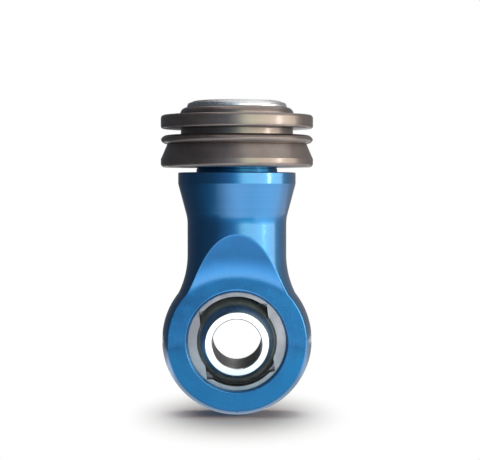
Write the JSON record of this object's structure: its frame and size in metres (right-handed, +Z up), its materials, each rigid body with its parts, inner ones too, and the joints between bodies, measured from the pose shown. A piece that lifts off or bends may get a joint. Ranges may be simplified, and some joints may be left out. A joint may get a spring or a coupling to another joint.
{
  "type": "spherical bearing shock absorber end eye",
  "caption": "Turned aluminium shock absorber end with a spherical bearing in its milled eye, a necked shank and a grooved closure.",
  "frame": {"origin": "centre of the spherical bearing, where the bolt's axis crosses the shank's axis", "axes": "+Z up the shank to the closure, Y across the eye's cheeks along the bolt, the loading slots on the -Y face"},
  "size_m": [0.039, 0.039, 0.0805],
  "materials": {
    "anodised_blue": "blue anodised over a fine turned finish",
    "race_steel": "ground stainless steel",
    "ball_steel": "hard chromed and polished",
    "hard_anodised": "brown-grey hard anodised, satin turned finish",
    "seal_rubber": "black nitrile rubber",
    "screw_steel": "bright zinc-plated steel"
  },
  "bodies": {
    "housing": {"eye_body": "anodised_blue", "bearing_race": "race_steel", "closure": "hard_anodised", "stem_seal": "seal_rubber", "retaining_screw": "screw_steel"},
    "ball": {"bearing_ball": "ball_steel"}
  },
  "joints": [
    {"name": "ball_tilt", "type": "hinge", "parent": "housing", "child": "ball", "pos_m": [0, 0, 0], "axis": [1, 0, 0], "range_deg": [-16, 8]}
  ]
}
